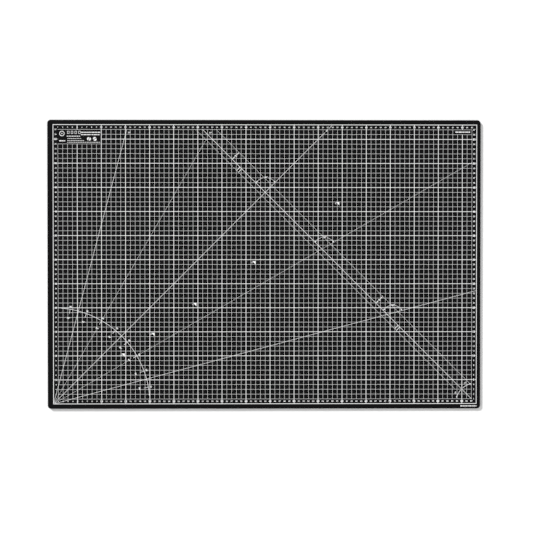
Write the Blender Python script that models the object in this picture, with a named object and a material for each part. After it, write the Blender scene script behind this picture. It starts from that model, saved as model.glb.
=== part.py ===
"""Self healing cutting mat: a five-ply PVC laminate with a white measuring grid printed on its top face.

Metres, +Z up. The origin is at the middle of the underside, +X runs along the long side and +Y away
from the user. The print counts whole cells from the front left corner of its own frame line.
"""

from math import atan2, cos, radians, sin

import bmesh
import bpy
from mathutils import Vector

# The sheet.
SHEET_LENGTH = 0.900
SHEET_WIDTH = 0.600
CORNER_RADIUS = 0.007
CORNER_SEGMENTS = 8

# The plies, and the bond line between each two.
HEALING_PLY = 0.0005
STIFFENER_PLY = 0.0006
CORE_PLY = 0.0006
BOND_LINE = 0.00005

# The print: the whole cells that fit inside the least margin, set a little off the sheet's middle.
CELL = 0.010
CELLS_PER_MAJOR = 5
LEAST_MARGIN = 0.007
PRINT_SHIFT_X = 0.0019
PRINT_SHIFT_Y = 0.0001
FRAME_LINE = 0.0012
MAJOR_LINE = 0.0011
ANGLE_LINE = 0.0007
INK = 0.00003
INK_SEAT = 0.00001

# The print is drawn this thick and then pressed flat, so that its unions are cut in a stout solid.
# Each added line is drawn a step above the last, so that no two of their faces lie in one plane.
DRAWN_INK = 0.030
DRAWN_STEP = 0.0015

# Angle lines out of the front left corner, each with the cells from its end to the frame line, the
# cells from either end of the long diagonal to it, and the protractor about the same corner.
ANGLES_DEG = {15: 0, 30: 1, 45: 0, 60: 1, 75: 1}
DIAGONAL_SHORT = 1
ARC_CELLS = 20
ARC_END_DEG = 5
ARC_STEP_DEG = 4
TICK_EVERY_DEG = 10
TICK = 0.009

PLIES = (
    ("bottom_healing_ply", HEALING_PLY, "healing_pvc"),
    ("lower_stiffener_ply", STIFFENER_PLY, "stiffener_pvc"),
    ("core_ply", CORE_PLY, "core_pvc"),
    ("upper_stiffener_ply", STIFFENER_PLY, "stiffener_pvc"),
    ("top_healing_ply", HEALING_PLY, "healing_pvc"),
)

COLUMNS = int((SHEET_LENGTH - 2 * (LEAST_MARGIN + abs(PRINT_SHIFT_X))) / CELL)
ROWS = int((SHEET_WIDTH - 2 * (LEAST_MARGIN + abs(PRINT_SHIFT_Y))) / CELL)
GRID_LENGTH = COLUMNS * CELL
GRID_WIDTH = ROWS * CELL
SHEET_TOP = sum(thickness for _, thickness, _ in PLIES) + BOND_LINE * (len(PLIES) - 1)


def new_collection(name):
    collection = bpy.data.collections.new(name)
    bpy.context.scene.collection.children.link(collection)
    return collection


def plastic(name, colour, roughness):
    material = bpy.data.materials.new(name)
    material.use_nodes = True
    shader = material.node_tree.nodes["Principled BSDF"]
    shader.inputs["Base Color"].default_value = (*colour, 1)
    shader.inputs["Roughness"].default_value = roughness
    shader.inputs["Metallic"].default_value = 0
    material.diffuse_color = (*colour, 1)
    return material


def object_of(bm, name):
    """A new object that holds the bmesh."""
    mesh = bpy.data.meshes.new(name)
    bm.to_mesh(mesh)
    bm.free()
    return bpy.data.objects.new(name, mesh)


def ply(name, bottom, thickness, material):
    """A flat sheet with its four upright edges rounded."""
    bm = bmesh.new()
    bmesh.ops.create_cube(bm, size=1)
    bmesh.ops.scale(bm, vec=(SHEET_LENGTH, SHEET_WIDTH, thickness), verts=bm.verts)
    upright = [edge for edge in bm.edges if edge.verts[0].co.xy == edge.verts[1].co.xy]
    bmesh.ops.bevel(
        bm,
        geom=upright,
        offset=CORNER_RADIUS,
        segments=CORNER_SEGMENTS,
        profile=0.5,
        affect="EDGES",
    )
    obj = object_of(bm, name)
    obj.data.materials.append(material)
    obj.location.z = bottom + thickness / 2
    parts.objects.link(obj)


def print_seat():
    """The empty that the print stands on, at the frame line's corner and squeezed to the ink's thickness."""
    seat = bpy.data.objects.new("print_seat", None)
    seat.location.x = PRINT_SHIFT_X - GRID_LENGTH / 2
    seat.location.y = PRINT_SHIFT_Y - GRID_WIDTH / 2
    seat.location.z = SHEET_TOP + INK_SEAT
    seat.scale.z = INK / DRAWN_INK
    parts.objects.link(seat)
    return seat


def line_edges(cells):
    """Both edges of the frame line and of each major line, in order along one axis of the grid."""
    majors = [k * CELL for k in range(CELLS_PER_MAJOR, cells, CELLS_PER_MAJOR)]
    lines = [(0, FRAME_LINE)] + [(x, MAJOR_LINE) for x in majors] + [(cells * CELL, FRAME_LINE)]
    return [x + side * width / 2 for x, width in lines for side in (-1, 1)]


def grid_lattice(name):
    """The frame line and the major lines as one lattice: a plane with its openings cut out, then raised."""
    xs = line_edges(COLUMNS)
    ys = line_edges(ROWS)
    bm = bmesh.new()
    bmesh.ops.create_grid(bm, x_segments=len(xs) - 1, y_segments=len(ys) - 1, size=0.5)
    openings = []
    for face in bm.faces:
        middle = face.calc_center_median()
        strip_x = int((middle.x + 0.5) * (len(xs) - 1))
        strip_y = int((middle.y + 0.5) * (len(ys) - 1))
        if strip_x % 2 and strip_y % 2:
            openings.append(face)
    for vert in bm.verts:
        x = xs[round((vert.co.x + 0.5) * (len(xs) - 1))]
        y = ys[round((vert.co.y + 0.5) * (len(ys) - 1))]
        vert.co = (x, y, 0)
    bmesh.ops.delete(bm, geom=openings, context="FACES")
    raised = bmesh.ops.extrude_face_region(bm, geom=bm.faces[:])
    top = [item for item in raised["geom"] if isinstance(item, bmesh.types.BMVert)]
    bmesh.ops.translate(bm, vec=(0, 0, DRAWN_INK), verts=top)
    bmesh.ops.recalc_face_normals(bm, faces=bm.faces)
    return object_of(bm, name)


def straight_line(name, start, end):
    """A printed line between two points of the grid."""
    run = Vector(end) - Vector(start)
    bm = bmesh.new()
    bmesh.ops.create_cube(bm, size=1)
    bmesh.ops.scale(bm, vec=(run.length, ANGLE_LINE, DRAWN_INK), verts=bm.verts)
    bmesh.ops.translate(bm, vec=(run.length / 2, 0, DRAWN_INK / 2), verts=bm.verts)
    line = object_of(bm, name)
    line.location.xy = start
    line.rotation_euler.z = atan2(run.y, run.x)
    return line


def angle_end(angle, cells_short):
    """Where a line out of the front left corner ends, some cells short of the frame line."""
    short = cells_short * CELL
    reach = min((GRID_LENGTH - short) / cos(angle), (GRID_WIDTH - short) / sin(angle))
    return (reach * cos(angle), reach * sin(angle))


def on_arc(radius, degrees):
    return (radius * cos(radians(degrees)), radius * sin(radians(degrees)))


def protractor_arc(name):
    """The quarter arc as a flat curve, made a mesh with its loose caps welded to its sides."""
    degrees = range(ARC_END_DEG, 91 - ARC_END_DEG, ARC_STEP_DEG)
    outline = [on_arc(ARC_CELLS * CELL + ANGLE_LINE / 2, d) for d in degrees]
    outline += [on_arc(ARC_CELLS * CELL - ANGLE_LINE / 2, d) for d in reversed(degrees)]
    curve = bpy.data.curves.new(name, "CURVE")
    curve.dimensions = "2D"
    curve.fill_mode = "BOTH"
    curve.extrude = DRAWN_INK / 2
    spline = curve.splines.new("POLY")
    spline.points.add(len(outline) - 1)
    for point, (x, y) in zip(spline.points, outline):
        point.co = (x, y, 0, 1)
    spline.use_cyclic_u = True
    drawn = bpy.data.objects.new(name, curve)
    additions.objects.link(drawn)
    evaluated = drawn.evaluated_get(bpy.context.evaluated_depsgraph_get())
    bm = bmesh.new()
    bm.from_mesh(bpy.data.meshes.new_from_object(evaluated))
    bpy.data.objects.remove(drawn)
    bmesh.ops.remove_doubles(bm, verts=bm.verts, dist=ANGLE_LINE / 100)
    bmesh.ops.translate(bm, vec=(0, 0, DRAWN_INK / 2), verts=bm.verts)
    return object_of(bm, name)


def printed_grid(material):
    """The white print as one lattice: frame, major and angle lines, the long diagonal and the protractor."""
    lines = [
        straight_line(f"angle_{d}", (0, 0), angle_end(radians(d), cells_short))
        for d, cells_short in ANGLES_DEG.items()
    ]
    short = DIAGONAL_SHORT * CELL
    drop = min(GRID_LENGTH, GRID_WIDTH) - short
    lines.append(straight_line("long_diagonal", (GRID_LENGTH - short, short), (GRID_LENGTH - drop, drop)))
    lines.append(protractor_arc("protractor_arc"))
    radius = ARC_CELLS * CELL
    for d in sorted(set(range(TICK_EVERY_DEG, 90, TICK_EVERY_DEG)) - set(ANGLES_DEG)):
        lines.append(straight_line(f"tick_{d}", on_arc(radius - TICK, d), on_arc(radius, d)))
    seat = print_seat()
    grid = grid_lattice("printed_grid")
    grid.data.materials.append(material)
    grid.parent = seat
    parts.objects.link(grid)
    for step, line in enumerate(lines, start=1):
        line.parent = seat
        line.location.z = step * DRAWN_STEP
        line.hide_render = True
        line.display_type = "WIRE"
        additions.objects.link(line)
        union = grid.modifiers.new(line.name, "BOOLEAN")
        union.operation = "UNION"
        union.object = line


for scene_object in list(bpy.data.objects):
    bpy.data.objects.remove(scene_object)
parts = new_collection("self_healing_mat")
additions = new_collection("self_healing_mat_additions")

plastics = {
    "healing_pvc": plastic("healing_pvc", (0.020, 0.020, 0.021), 0.55),
    "stiffener_pvc": plastic("stiffener_pvc", (0.035, 0.035, 0.037), 0.50),
    "core_pvc": plastic("core_pvc", (0.055, 0.055, 0.058), 0.50),
    "white_ink": plastic("white_ink", (0.80, 0.80, 0.80), 0.45),
}

ply_bottom = 0.0
for ply_name, ply_thickness, plastic_name in PLIES:
    ply(ply_name, ply_bottom, ply_thickness, plastics[plastic_name])
    ply_bottom += ply_thickness + BOND_LINE

printed_grid(plastics["white_ink"])
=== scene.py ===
import random
from math import ceil, cos, degrees, radians, sin, sqrt

import bmesh
import bpy
from mathutils import Matrix, Vector


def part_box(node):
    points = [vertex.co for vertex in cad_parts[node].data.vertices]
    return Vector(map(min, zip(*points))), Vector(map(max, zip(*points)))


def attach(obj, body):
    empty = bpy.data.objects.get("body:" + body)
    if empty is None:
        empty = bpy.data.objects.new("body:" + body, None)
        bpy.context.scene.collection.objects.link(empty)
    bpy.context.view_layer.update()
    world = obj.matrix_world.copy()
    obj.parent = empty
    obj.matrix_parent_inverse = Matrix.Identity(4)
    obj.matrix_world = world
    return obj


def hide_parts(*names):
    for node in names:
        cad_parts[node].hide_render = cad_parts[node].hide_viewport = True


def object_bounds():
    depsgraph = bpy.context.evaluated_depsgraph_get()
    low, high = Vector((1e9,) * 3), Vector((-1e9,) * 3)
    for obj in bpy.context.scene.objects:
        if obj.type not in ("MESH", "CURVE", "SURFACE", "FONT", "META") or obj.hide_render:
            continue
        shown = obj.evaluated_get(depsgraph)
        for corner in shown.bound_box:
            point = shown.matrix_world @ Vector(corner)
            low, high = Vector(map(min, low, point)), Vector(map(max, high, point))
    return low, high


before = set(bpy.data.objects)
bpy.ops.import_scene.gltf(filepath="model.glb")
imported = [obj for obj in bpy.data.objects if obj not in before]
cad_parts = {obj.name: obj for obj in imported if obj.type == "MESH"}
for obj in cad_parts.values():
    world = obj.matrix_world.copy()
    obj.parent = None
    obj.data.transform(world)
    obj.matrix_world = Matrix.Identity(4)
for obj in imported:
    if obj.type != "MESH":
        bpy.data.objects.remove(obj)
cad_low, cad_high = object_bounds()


# ---- The healing plies -------------------------------------------------------------------------
# The two outer plies are soft PVC, black right through, that closes again behind a blade. They come
# off the press rolls with a fine dull grain, and are a little cloudy where the roll ran warmer.

class Tone:
    """A socket of a material's nodes. Sums and products of tones add Math nodes."""

    def __init__(self, tree, socket=None):
        self.tree = tree
        self.socket = socket

    def node(self, kind, settings, inputs, output=0):
        """Adds a node of any kind: its settings come first, then the values or links of its sockets."""
        made = self.tree.nodes.new(kind)
        for name, setting in settings.items():
            setattr(made, name, setting)
        for name, value in inputs.items():
            if isinstance(value, Tone):
                self.tree.links.new(value.socket, made.inputs[name])
            else:
                made.inputs[name].default_value = value
        return Tone(self.tree, made.outputs[output] if made.outputs else None)

    def math(self, operation, first, second):
        return self.node("ShaderNodeMath", {"operation": operation}, {0: first, 1: second})

    def __add__(self, other):
        return self.math("ADD", self, other)

    def __mul__(self, other):
        return self.math("MULTIPLY", self, other)

    __radd__ = __add__
    __rmul__ = __mul__

    def between(self, low, high):
        """Two colours, blended by this tone."""
        mix = {0: self, 6: (*low, 1), 7: (*high, 1)}
        return self.node("ShaderNodeMix", {"data_type": "RGBA"}, mix, output=2)

    def noise(self, place, per_metre, detail=2.0):
        sockets = {"Vector": place, "Scale": per_metre, "Detail": detail}
        return self.node("ShaderNodeTexNoise", {}, sockets)

    def relief(self, height, distance, strength):
        sockets = {"Height": height, "Distance": distance, "Strength": strength}
        return self.node("ShaderNodeBump", {}, sockets)

    def surface(self, inputs):
        """The Principled surface that ends a material."""
        shader = self.node("ShaderNodeBsdfPrincipled", {}, inputs)
        self.node("ShaderNodeOutputMaterial", {}, {"Surface": shader})


def new_finish(name):
    """An empty material, with the tone that its nodes start from and the place of each point in metres."""
    material = bpy.data.materials.new(name)
    material.use_nodes = True
    material.node_tree.nodes.clear()
    start = Tone(material.node_tree)
    return material, start, start.node("ShaderNodeTexCoord", {}, {}, output="Object")


def healing_pvc():
    material, start, place = new_finish("healing_pvc")
    grain = start.noise(place, per_metre=1500, detail=1.5)
    pebble = start.noise(place, per_metre=420, detail=3)
    cloud = start.noise(place, per_metre=7, detail=2)
    depth = cloud * 0.6 + pebble * 0.4
    start.surface({
        "Base Color": depth.between((0.0016, 0.0016, 0.0018), (0.0042, 0.0042, 0.0045)),
        "Roughness": 0.70 + pebble * 0.16 + cloud * 0.08,
        "Specular IOR Level": 0.07,
        "Normal": start.relief(grain * 0.6 + pebble * 0.4, distance=0.00008, strength=0.5),
    })
    return material


def refinish(node, material):
    """Gives a CAD node its finish."""
    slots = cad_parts[node].data.materials
    slots.clear()
    slots.append(material)


healing_finish = healing_pvc()
for outer_ply in ("bottom_healing_ply", "top_healing_ply"):
    refinish(outer_ply, healing_finish)


# ---- The stiffener plies and the core ----------------------------------------------------------
# Three harder PVC sheets between the healing plies keep the mat flat and stop the blade. Only their
# cut edges show, a shade greyer than the faces, with the fine upright tear marks of the die.

def inner_pvc(name, dark, light):
    material, start, place = new_finish(name)
    tear = start.noise(place, per_metre=900, detail=3)
    streak = start.noise(place, per_metre=60, detail=2)
    start.surface({
        "Base Color": (tear * 0.5 + streak * 0.5).between(dark, light),
        "Roughness": 0.62 + tear * 0.2,
        "Specular IOR Level": 0.2,
        "Normal": start.relief(tear, distance=0.00006, strength=0.6),
    })
    return material


stiffener_finish = inner_pvc("stiffener_pvc", (0.010, 0.010, 0.011), (0.024, 0.024, 0.026))
for inner_ply in ("lower_stiffener_ply", "upper_stiffener_ply"):
    refinish(inner_ply, stiffener_finish)
refinish("core_ply", inner_pvc("core_pvc", (0.020, 0.020, 0.022), (0.042, 0.042, 0.045)))


# ---- The frame line and the five centimetre lines ----------------------------------------------
# The print is white ink pulled through a fine screen in one go, so it is a thin dull film with a
# trace of the mesh in it. The frame line and every fifth line are the boldest, and break only for
# the numerals and the small print. From here on, places and widths on the print are in cells.

cell = 0.010
cells_per_major = 5
frame_line = 0.12
major_line = 0.110
film_foot = 0.000004
film_height = 0.000030
film_step = 0.0000025

sheet_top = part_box("top_healing_ply")[1][2]
print_low, print_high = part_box("printed_grid")
front_left = (print_low[0] + frame_line * cell / 2, print_low[1] + frame_line * cell / 2)
columns = round((print_high[0] - print_low[0]) / cell - frame_line)
rows = round((print_high[1] - print_low[1]) / cell - frame_line)


def screen_ink():
    material, start, place = new_finish("white_ink")
    mesh_marks = start.noise(place, per_metre=5200, detail=0)
    thin_spots = start.noise(place, per_metre=150, detail=4)
    cover = mesh_marks * 0.35 + thin_spots * 0.65
    start.surface({
        "Base Color": cover.between((0.62, 0.62, 0.62), (0.90, 0.90, 0.90)),
        "Roughness": 0.6 + mesh_marks * 0.2,
        "Specular IOR Level": 0.25,
        "Normal": start.relief(mesh_marks, distance=0.00001, strength=0.4),
    })
    return material


ink = screen_ink()


class Film:
    """Flat shapes of ink, in cells from the front left corner of the frame line."""

    def __init__(self):
        self.bm = bmesh.new()

    def patch(self, points):
        self.bm.faces.new([self.bm.verts.new((*point, 0)) for point in points])

    def block(self, left, front, right, back):
        self.patch([(left, front), (right, front), (right, back), (left, back)])

    def stripe(self, start, end, width):
        start, end = Vector(start), Vector(end)
        side = (end - start).orthogonal().normalized() * (width / 2)
        self.patch([start + side, end + side, end - side, start - side])

    def border(self, left, front, right, back, width):
        """A closed border, with its line centred on these four sides."""
        rings = []
        for out in (-width / 2, width / 2):
            corners = [
                (left - out, front - out),
                (right + out, front - out),
                (right + out, back + out),
                (left - out, back + out),
            ]
            rings.append([self.bm.verts.new((*corner, 0)) for corner in corners])
        inner, outer = rings
        for i in range(4):
            self.bm.faces.new([outer[i - 1], outer[i], inner[i], inner[i - 1]])

    def lay(self, name, layer=0):
        """Raises the shapes into a film and lays it on the top ply as a piece of the print."""
        self.bm.normal_update()
        for face in self.bm.faces:
            if face.normal.z < 0:
                face.normal_flip()
        raised = bmesh.ops.extrude_face_region(self.bm, geom=self.bm.faces[:])
        tops = [item for item in raised["geom"] if isinstance(item, bmesh.types.BMVert)]
        bmesh.ops.scale(self.bm, vec=(cell, cell, 1), verts=self.bm.verts)
        bmesh.ops.translate(self.bm, vec=(0, 0, film_height + layer * film_step), verts=tops)
        bmesh.ops.recalc_face_normals(self.bm, faces=self.bm.faces)
        mesh = bpy.data.meshes.new(name)
        self.bm.to_mesh(mesh)
        self.bm.free()
        mesh.materials.append(ink)
        piece = bpy.data.objects.new(name, mesh)
        piece.location = (*front_left, sheet_top + film_foot)
        bpy.context.scene.collection.objects.link(piece)
        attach(piece, "root")
        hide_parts("printed_grid")


def runs(start, end, gaps):
    """The stretches of a line that its gaps leave."""
    for low, high in sorted(gaps):
        if low > start:
            yield start, low
        start = max(start, high)
    if end > start:
        yield start, end


numeral_inset = 0.53
narrow_gap = 0.21
wide_gap = 0.37
panel_left, panel_right = 1, 10
panel_front, panel_back = rows - 4, rows - 1
strip_column = columns - 3
strip_front, strip_back = rows - 2, rows - 1

frame_film = Film()
frame_film.border(0, 0, columns, rows, frame_line)
frame_film.lay("frame_line", layer=3)

upright_majors = Film()
for x in range(cells_per_major, columns, cells_per_major):
    gaps = [(side - narrow_gap, side + narrow_gap) for side in (numeral_inset, rows - numeral_inset)]
    if panel_left <= x < panel_right:
        gaps.append((panel_front, panel_back))
    if x == strip_column:
        gaps.append((strip_front, strip_back))
    for low, high in runs(frame_line / 2, rows - frame_line / 2, gaps):
        upright_majors.stripe((x, low), (x, high), major_line)
upright_majors.lay("five_centimetre_lines_across", layer=2)

level_majors = Film()
for y in range(cells_per_major, rows, cells_per_major):
    room = wide_gap if len(str(y)) > 1 else narrow_gap
    gaps = [(side - room, side + room) for side in (numeral_inset, columns - numeral_inset)]
    if panel_front <= y < panel_back:
        gaps.append((panel_left, panel_right))
    for low, high in runs(frame_line / 2, columns - frame_line / 2, gaps):
        level_majors.stripe((low, y), (high, y), major_line)
level_majors.lay("five_centimetre_lines_along", layer=1)


# ---- The centimetre lines ----------------------------------------------------------------------
# Hairlines at every centimetre between the bold ones. They stop one cell short of the frame line,
# which leaves a clear band for the numerals, and leave the small print in the back corners clear.

hairline = 0.046

across = Film()
for x in range(1, columns):
    if x % cells_per_major:
        gaps = []
        if panel_left <= x < panel_right:
            gaps.append((panel_front, panel_back - hairline))
        if abs(x - strip_column) <= 1:
            gaps.append((strip_front + hairline, strip_back - hairline))
        for low, high in runs(1, rows - 1, gaps):
            across.stripe((x, low), (x, high), hairline)
across.lay("centimetre_lines_across", layer=0)

along = Film()
for y in range(1, rows):
    if y % cells_per_major:
        gaps = [(panel_left, panel_right)] if panel_front < y < panel_back else []
        for low, high in runs(1, columns - 1, gaps):
            along.stripe((low, y), (high, y), hairline)
along.lay("centimetre_lines_along", layer=0.5)


# ---- The numerals ------------------------------------------------------------------------------
# Every line is numbered on all four sides, counted from the front left corner and read upright. The
# numerals of the bold lines are larger and heavier, and break the line that they stand on.

minor_height = 0.28
minor_weight = 0.035
major_height = 0.37
major_weight = 0.065
known_figures = {}


def figure_shape(text, weight):
    """A figure as flat faces, made heavier by this weight: its points and its faces."""
    if (text, weight) not in known_figures:
        curve = bpy.data.curves.new(text, "FONT")
        curve.body = text
        curve.resolution_u = 2
        curve.offset = weight
        curve.space_character = 1 + 2 * weight
        curve.fill_mode = "FRONT"
        written = bpy.data.objects.new(text, curve)
        bpy.context.scene.collection.objects.link(written)
        view = bpy.context.evaluated_depsgraph_get()
        mesh = bpy.data.meshes.new_from_object(written.evaluated_get(view))
        bpy.data.objects.remove(written)
        bpy.data.curves.remove(curve)
        points = [vert.co.xy for vert in mesh.vertices]
        known_figures[text, weight] = points, [tuple(face.vertices) for face in mesh.polygons]
        bpy.data.meshes.remove(mesh)
    return known_figures[text, weight]


def add_figure(film, text, middle, height, weight, turn=0):
    """Adds a figure to a film, with its digits this high and its middle here, turned by degrees."""
    points, faces = figure_shape(text, weight)
    zero = [point.y for point in figure_shape("0", weight)[0]]
    scale = height / (max(zero) - min(zero))
    left, right = min(point.x for point in points), max(point.x for point in points)
    centre = Vector(((left + right) / 2, (min(zero) + max(zero)) / 2))
    spin = Matrix.Rotation(radians(turn), 2)
    spots = [Vector(middle) + spin @ ((point - centre) * scale) for point in points]
    verts = [film.bm.verts.new((*spot, 0)) for spot in spots]
    for face in faces:
        film.bm.faces.new([verts[index] for index in face])


def numeral_row(name, count, place, size=1.0):
    film = Film()
    for k in range(1, count):
        if k % cells_per_major:
            add_figure(film, str(k), place(k), minor_height * size, minor_weight)
        else:
            add_figure(film, str(k), place(k), major_height * size, major_weight)
    film.lay(name, layer=2)


numeral_row("front_numerals", columns, lambda k: (k, numeral_inset), size=1.14)
numeral_row("back_numerals", columns, lambda k: (k, rows - numeral_inset))
numeral_row("left_numerals", rows, lambda k: (numeral_inset, k), size=1.03)
numeral_row("right_numerals", rows, lambda k: (columns - numeral_inset, k), size=1.18)


# ---- The angle lines ---------------------------------------------------------------------------
# Five lines fan out of the front left corner at 15, 30, 45, 60 and 75 degrees. The 45 is the boldest,
# and the 30 and 60 are hairlines that give way to the figures of the protractor that they cross. The
# 45, 60 and 75 have their figures at the back edge, and the 60 ends on the lower bias line.

line_45 = 0.068
line_15_and_75 = 0.060
line_30 = 0.034
line_60 = 0.032
fan_start = 0.3
arc_radius = 20
inner_ring = 18.15
outer_ring = 20.55
ring_room = 0.35
label_height = 0.30
label_weight = 0.04
label_room = 0.55
label_row = rows - 1.65
label_60 = 32.65
label_75 = 15.8
label_45 = (rows - 1.2) * sqrt(2)
diagonal_sum = columns
lower_sum = diagonal_sum - sqrt(2)


def polar(angle, distance):
    """The step this many cells long at an angle in degrees, which from the corner is also a point."""
    return Vector((distance * cos(radians(angle)), distance * sin(radians(angle))))


def angle_line(film, angle, end, width, gaps=()):
    for low, high in runs(fan_start, end, gaps):
        film.stripe(polar(angle, low), polar(angle, high), width)


fan = Film()
back_end = (rows - frame_line / 2) * sqrt(2)
right_end = (columns - frame_line / 2) / cos(radians(15))
angle_line(fan, 45, back_end, line_45, [(label_45 - label_room, label_45 + label_room)])
angle_line(fan, 15, right_end, line_15_and_75)
angle_line(fan, 75, (rows - 1) / sin(radians(75)), line_15_and_75)
fan.lay("angle_lines", layer=4)

fine_fan = Film()
ring_gaps = [(inner_ring - ring_room, arc_radius), (arc_radius, outer_ring + ring_room)]
end_60 = lower_sum / (cos(radians(60)) + sin(radians(60)))
angle_line(fine_fan, 30, (columns - 1) / cos(radians(30)), line_30, ring_gaps)
angle_line(fine_fan, 60, end_60, line_60, ring_gaps)
fine_fan.lay("fine_angle_lines", layer=5)

angle_labels = Film()
add_figure(angle_labels, "75°", (label_75, label_row), label_height, label_weight)
add_figure(angle_labels, "60°", (label_60, label_row), label_height, label_weight)
add_figure(angle_labels, "45°", polar(45, label_45), label_height, label_weight, turn=45)
angle_labels.lay("angle_labels", layer=6)


# ---- The protractor ----------------------------------------------------------------------------
# A quarter arc at 20 cm about the same corner, with an arrowhead at each end. A tick at every ten
# degrees hangs on its inner side between two rings of figures, which count up and down the arc.

arc_line = 0.075
arc_start, arc_end = 4.7, 85.3
arc_arrow = 0.42, 0.14
arrow_room = 0.8
tick_length = 0.9
outer_weight = 0.055
inner_weight = 0.06
ring_height = 0.33


def add_arc(film, centre, radius, start, end, width, step=1.5):
    """A band of ink round a centre, in short straight faces that share their corners."""
    count = ceil((end - start) / step)
    corners = []
    for i in range(count + 1):
        angle = start + (end - start) * i / count
        spots = [Vector(centre) + polar(angle, radius + side * width / 2) for side in (-1, 1)]
        corners.append([film.bm.verts.new((*spot, 0)) for spot in spots])
    for (inner, outer), (next_inner, next_outer) in zip(corners, corners[1:]):
        film.bm.faces.new([inner, outer, next_outer, next_inner])


def add_arrow(film, tip, heading, size):
    """An arrowhead with its tip here, pointing along a heading. Its size is its length and half width."""
    length, half_width = size
    back = polar(heading, -length)
    side = back.orthogonal().normalized() * half_width
    film.patch([Vector(tip), Vector(tip) + back + side, Vector(tip) + back - side])


protractor = Film()
add_arc(protractor, (0, 0), arc_radius, arc_start + arrow_room, arc_end - arrow_room, arc_line)
add_arrow(protractor, polar(arc_start, arc_radius), arc_start - 90, arc_arrow)
add_arrow(protractor, polar(arc_end, arc_radius), arc_end + 90, arc_arrow)
protractor.lay("protractor_arc", layer=7)

protractor_marks = Film()
for angle in range(10, 90, 10):
    tick_foot = polar(angle, arc_radius - tick_length)
    tick_head = polar(angle, arc_radius - arc_line / 2)
    protractor_marks.stripe(tick_foot, tick_head, arc_line)
    outer_spot, inner_spot = polar(angle, outer_ring), polar(angle, inner_ring)
    add_figure(protractor_marks, str(angle), outer_spot, ring_height, outer_weight, angle - 90)
    add_figure(protractor_marks, f"{90 - angle}°", inner_spot, ring_height, inner_weight, angle - 90)
protractor_marks.lay("protractor_marks", layer=8)


# ---- The long diagonal and its two neighbours --------------------------------------------------
# A bold line runs up and left from the front right corner at 45 degrees, for cutting strips on the
# bias. A hairline lies one centimetre below it and another two centimetres above it. In two places
# a stroke with arrowheads and a 2 crosses the wide strip, and two plain strokes cross the narrow one.

diagonal_line = 0.072
upper_line = 0.037
lower_line = 0.032
lower_start = 83.5
strip_width = 2
upper_sum = diagonal_sum + strip_width * sqrt(2)
slant = Vector((1, 1)).normalized()
wide_marks = 37.15, 67.05
wide_stroke = 0.14
stroke_inset = 0.3
strip_figure_room = 0.24
strip_arrow = 0.36, 0.12
strip_figure_height = 0.42
strip_figure_weight = 0.065
narrow_marks = 38.95, 71.85
narrow_stroke = 0.11
stroke_spread = 0.25

diagonal = Film()
diagonal.stripe((columns - 1, 1), (diagonal_sum - rows + 1, rows - 1), diagonal_line)
diagonal.lay("long_diagonal", layer=6)

neighbours = Film()
upper_end = (upper_sum - rows + 1, rows - 1)
lower_end = (lower_sum - rows + 1, rows - 1)
neighbours.stripe((columns - 1, upper_sum - columns + 1), upper_end, upper_line)
neighbours.stripe((lower_start, lower_sum - lower_start), lower_end, lower_line)
neighbours.lay("bias_strip_lines", layer=7)

strip_marks = Film()
for x in wide_marks:
    foot = Vector((x, diagonal_sum - x))
    head = foot + slant * strip_width
    middle = (foot + head) / 2
    strip_marks.stripe(foot + slant * stroke_inset, middle - slant * strip_figure_room, wide_stroke)
    strip_marks.stripe(middle + slant * strip_figure_room, head - slant * stroke_inset, wide_stroke)
    add_arrow(strip_marks, foot, 225, strip_arrow)
    add_arrow(strip_marks, head, 45, strip_arrow)
    add_figure(strip_marks, "2", middle, strip_figure_height, strip_figure_weight, turn=45)
for x in narrow_marks:
    for aside in (-stroke_spread, stroke_spread):
        start = Vector((x, diagonal_sum - x)) + polar(-45, aside)
        strip_marks.stripe(start, start - slant, narrow_stroke)
strip_marks.lay("strip_width_marks", layer=8)


# ---- The corner and crossing angles ------------------------------------------------------------
# Small arcs with arrowheads show the angle where the diagonal meets an angle line, and split the
# front right corner into two halves of 45 degrees. Each has its figure beside it.

crossing_line = 0.055
crossing_height = 0.34
crossing_weight = 0.05
crossing_nudge = 0.05
crossing_half_room = 0.48
crossing_arrow = 0.40, 0.16
arrow_angle = 4
arrow_lean = 8

crossing_arcs = Film()
for text, middle, radius, half_angle in (
    ("90°", (44.1, 44.6), 2.45, 56),
    ("105°", (56.3, 32.25), 2.40, 58),
    ("120°", (70.55, 18.15), 2.35, 57),
):
    inner = degrees(crossing_half_room / radius)
    outer = half_angle - arrow_angle
    for start, end in ((90 - outer, 90 - inner), (90 + inner, 90 + outer)):
        add_arc(crossing_arcs, middle, radius, start, end, crossing_line, step=4)
    for side in (-1, 1):
        tip = Vector(middle) + polar(90 + side * half_angle, radius)
        heading = 90 + side * (half_angle + 90 - arrow_lean)
        add_arrow(crossing_arcs, tip, heading, crossing_arrow)
    spot = (middle[0] + crossing_nudge, middle[1] + radius + crossing_nudge)
    add_figure(crossing_arcs, text, spot, crossing_height, crossing_weight)
crossing_arcs.lay("crossing_angle_marks", layer=9)

corner_line = 0.08
corner_radius = 4.3
corner_stroke = 0.09
corner_stroke_half = 0.3
corner_arrow = 0.40, 0.14
corner_label_radius = corner_radius + 0.6
corner_label_height = 0.28
corner_label_weight = 0.03

corner_arc = Film()
corner = Vector((columns, 0))
corner_middle = corner + polar(135, corner_radius)
add_arc(corner_arc, corner, corner_radius, 108, 160, corner_line, step=3)
half_stroke = slant * corner_stroke_half
corner_arc.stripe(corner_middle - half_stroke, corner_middle + half_stroke, corner_stroke)
for angle, heading in ((104, 14), (164, 253)):
    add_arrow(corner_arc, corner + polar(angle, corner_radius), heading, corner_arrow)
for angle, turn in ((118, 28), (152, 62)):
    spot = corner + polar(angle, corner_label_radius)
    add_figure(corner_arc, "45°", spot, corner_label_height, corner_label_weight, turn)
corner_arc.lay("corner_angle_mark", layer=9)


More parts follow.
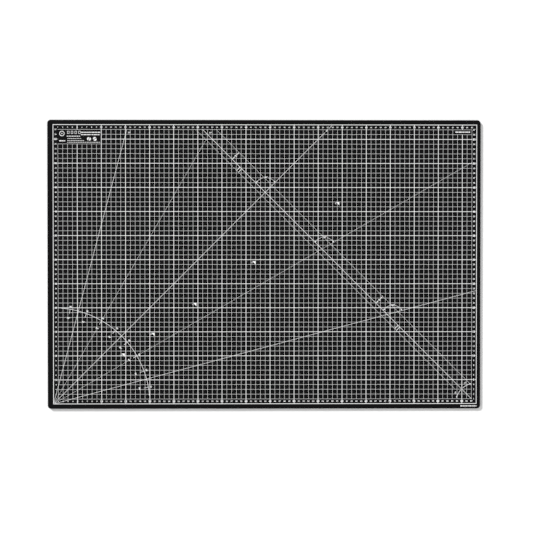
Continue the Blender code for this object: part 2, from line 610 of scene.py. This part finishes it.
# ---- The paper size corners --------------------------------------------------------------------
# A solid corner flag with its number marks where the far corner of each standard sheet falls when
# its near corner lies on the front left corner of the frame line.

sheet_corners = {2: (59.4, 42.0), 3: (42.0, 29.7), 4: (29.7, 21.0), 5: (21.0, 14.8), 6: (14.8, 10.5)}
flag = 0.70
flag_figure_left = 0.75
flag_figure_below = 0.30
flag_figure_height = 0.30
flag_figure_weight = 0.065

flags = Film()
for number, (x, y) in sheet_corners.items():
    flags.patch([(x - flag, y), (x, y - flag), (x, y)])
    spot = (x - flag_figure_left, y - flag_figure_below)
    add_figure(flags, str(number), spot, flag_figure_height, flag_figure_weight)
flags.lay("paper_size_corners", layer=9)


# ---- The printed panel -------------------------------------------------------------------------
# The back left corner keeps a block clear of lines for the maker's print. It holds a plain ring
# round a dot, a row of hollow squares, lines of small bars and two split discs, none of which spells
# anything. Two more lines of bars stand at the back right and front right corners.

bar_gap = 0.09
least_bar = 0.12
ring_middle = 1.85, rows - 1.85
ring_radius = 0.48
ring_line = 0.12
dot_half = 0.1
square_line = 0.07
square_front, square_back = rows - 1.865, rows - 1.355
square_width = 0.37
disc_row = rows - 2.96
disc_radius = 0.34
disc_split = 0.14

panel = Film()
random.seed(11)


def add_bars(film, left, right, middle, height, longest):
    """A row of bars of uneven length, like a line of small print."""
    while left < right - least_bar:
        length = min(random.uniform(0.2, longest), right - left)
        film.block(left, middle - height / 2, left + length, middle + height / 2)
        left += length + bar_gap


add_arc(panel, ring_middle, ring_radius, 2, 358, ring_line, step=10)
dot_x, dot_y = ring_middle
panel.block(dot_x - dot_half, dot_y - dot_half, dot_x + dot_half, dot_y + dot_half)
for left in (2.985, 3.755, 4.525, 5.295):
    panel.border(left, square_front, left + square_width, square_back, square_line)
for left, right, below, height, longest in (
    (2.85, 5.60, 2.40, 0.15, 0.55),
    (3.00, 5.80, 2.88, 0.10, 0.40),
    (2.95, 6.60, 3.30, 0.10, 0.40),
    (2.95, 9.75, 3.66, 0.10, 0.50),
    (5.80, 9.80, 1.60, 0.20, 0.70),
    (5.80, 9.75, 2.08, 0.18, 0.70),
    (1.30, 2.62, 3.36, 0.22, 0.50),
):
    add_bars(panel, left, right, rows - below, height, longest)
panel.lay("maker_panel", layer=4)

discs = Film()
for x, tilt in ((7.45, 75), (8.66, 30)):
    for start in (tilt, tilt + 180):
        centre = Vector((x, disc_row)) + polar(start + 90, disc_split / 2)
        discs.patch([centre + polar(start + 15 * i, disc_radius) for i in range(13)])
discs.lay("panel_discs", layer=4)

edge_print = Film()
add_bars(edge_print, columns - 4.45, columns - 1.4, rows - 1.48, 0.23, 0.8)
add_bars(edge_print, columns - 3.3, columns + 0.05, -0.5, 0.21, 0.5)
edge_print.lay("edge_print", layer=4)


# ---- The stage ---------------------------------------------------------------------------------
# A white floor under a wide soft sky, with a low key light from the back left, which throws the
# short soft shadow along the front and right edges of the mat. The camera looks almost straight down.

floor_size = 40
floor_gap = 0.0001
sky_strength = 0.70
seen_strength = 0.32


def floor_white():
    material, start, place = new_finish("floor_white")
    drift = start.noise(place, per_metre=0.8, detail=1)
    start.surface({
        "Base Color": drift.between((0.84, 0.84, 0.84), (0.86, 0.86, 0.86)),
        "Roughness": 0.9,
        "Specular IOR Level": 0.1,
    })
    return material


floor_bm = bmesh.new()
bmesh.ops.create_grid(floor_bm, x_segments=4, y_segments=4, size=floor_size / 2)
floor_mesh = bpy.data.meshes.new("floor")
floor_bm.to_mesh(floor_mesh)
floor_bm.free()
floor_mesh.materials.append(floor_white())
floor = bpy.data.objects.new("floor", floor_mesh)
floor.location.z = cad_low[2] - floor_gap
bpy.context.scene.collection.objects.link(floor)

sky = bpy.data.worlds.new("studio_sky")
sky.use_nodes = True
sky.node_tree.nodes.clear()
sky_start = Tone(sky.node_tree)
seen = sky_start.node("ShaderNodeLightPath", {}, {}, output="Is Camera Ray")
sky_inputs = {"Color": (1, 1, 1, 1), "Strength": seen * seen_strength + sky_strength}
sky_light = sky_start.node("ShaderNodeBackground", {}, sky_inputs)
sky_start.node("ShaderNodeOutputWorld", {}, {"Surface": sky_light})
bpy.context.scene.world = sky

key = bpy.data.lights.new("key", "SUN")
key.energy = 5.5
key.angle = radians(8)
key_object = bpy.data.objects.new("key", key)
key_object.rotation_euler = Vector((1, -1, -0.5)).to_track_quat("-Z", "Y").to_euler()
bpy.context.scene.collection.objects.link(key_object)

camera = bpy.data.cameras.new("camera")
camera.sensor_width = 36
camera.lens = 64.87
camera.clip_end = 100
camera_object = bpy.data.objects.new("camera", camera)
camera_object.location = (-0.0117, 0.0171, 2.0)
camera_object.rotation_euler = (radians(-0.609), radians(-0.465), radians(0.005))
bpy.context.scene.collection.objects.link(camera_object)
bpy.context.scene.camera = camera_object

bpy.context.scene.view_settings.view_transform = "Standard"
